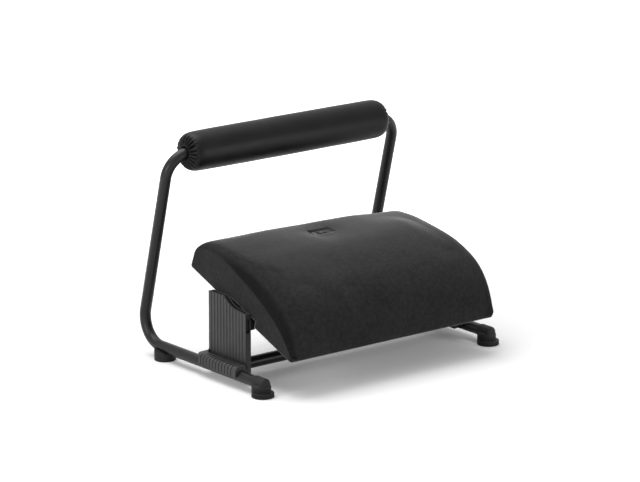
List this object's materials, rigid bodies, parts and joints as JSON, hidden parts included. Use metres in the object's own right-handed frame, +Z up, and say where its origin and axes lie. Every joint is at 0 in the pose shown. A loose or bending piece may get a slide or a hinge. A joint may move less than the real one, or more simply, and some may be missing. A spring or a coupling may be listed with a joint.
{
  "type": "heated footrest",
  "caption": "Heated footrest: tilting crowned cushion with a warming pad and push-button control on a bent-tube floor frame, under a turning padded roll bar.",
  "frame": {"origin": "on the floor under the middle of the whole footrest", "axes": "+X to the right along the cushion, -Y to the user at the cushion's low edge, +Z up"},
  "size_m": [0.517, 0.3774, 0.3856],
  "materials": {
    "frame_coat": "satin black powder coat",
    "bracket_plastic": "fine moulded texture, dark grey",
    "foot_rubber": "matt black",
    "fastener_steel": "black zinc",
    "joiner_steel": "plain drawn tube",
    "insert_brass": "turned, knurled outside",
    "washer_fibre": "matt friction washer",
    "hinge_plastic": "fine moulded texture",
    "pan_plastic": "moulded",
    "velvet": "short-pile black velvet",
    "foam": "open-cell cushion foam",
    "heater_felt": "felt mat with a stitched heating wire",
    "cutout_plastic": "moulded",
    "lead_rubber": "soft black",
    "control_gloss": "gloss black",
    "control_plastic": "moulded",
    "board": "solder-masked laminate",
    "lens_clear": "frosted clear",
    "inlet_plastic": "moulded",
    "faux_leather": "smooth black, fine grain",
    "core_plastic": "extruded tube",
    "elastic_rubber": "braided elastic"
  },
  "bodies": {
    "frame": {"left_frame_tube": "frame_coat", "right_frame_tube": "frame_coat", "crossbar": "frame_coat", "tube_joiner": "joiner_steel", "joiner_screws": "fastener_steel", "crossbar_screws": "fastener_steel", "bracket_screws": "fastener_steel", "rear_foot_screws": "fastener_steel", "left_side_bracket": "bracket_plastic", "right_side_bracket": "bracket_plastic", "left_front_foot": "foot_rubber", "right_front_foot": "foot_rubber", "left_rear_foot": "foot_rubber", "right_rear_foot": "foot_rubber", "left_pivot_bolt": "fastener_steel", "right_pivot_bolt": "fastener_steel", "left_pivot_insert": "insert_brass", "right_pivot_insert": "insert_brass", "left_friction_washer": "washer_fibre", "right_friction_washer": "washer_fibre"},
    "cushion": {"lug_screws": "fastener_steel", "left_hinge_lug": "hinge_plastic", "right_hinge_lug": "hinge_plastic", "base_pan": "pan_plastic", "cushion_foam": "foam", "heater_mat": "heater_felt", "thermal_cutout": "cutout_plastic", "heater_lead": "lead_rubber", "supply_lead": "lead_rubber", "cushion_cover": "velvet", "control_housing": "control_gloss", "control_back": "control_plastic", "control_board": "board", "button_switch": "control_plastic", "indicator_lens": "lens_clear", "power_inlet": "inlet_plastic", "inlet_nut": "fastener_steel"},
    "button": {"power_button": "control_gloss"},
    "roll": {"roll_core": "core_plastic", "roll_foam": "foam", "roll_cover": "faux_leather", "roll_elastics": "elastic_rubber"}
  },
  "joints": [
    {"name": "cushion_tilt", "type": "hinge", "parent": "frame", "child": "cushion", "pos_m": [0, -0.0462, 0.1016], "axis": [1, 0, 0], "range_deg": [-20, 10]},
    {"name": "roll_spin", "type": "hinge", "parent": "frame", "child": "roll", "pos_m": [0, 0.107, 0.352], "axis": [1, 0, 0], "continuous": true},
    {"name": "button_press", "type": "slide", "parent": "cushion", "child": "button", "axis": [0, 0.0856, -0.9963], "range_m": [0, 0.0008], "stiffness_N_per_m": 1500}
  ]
}
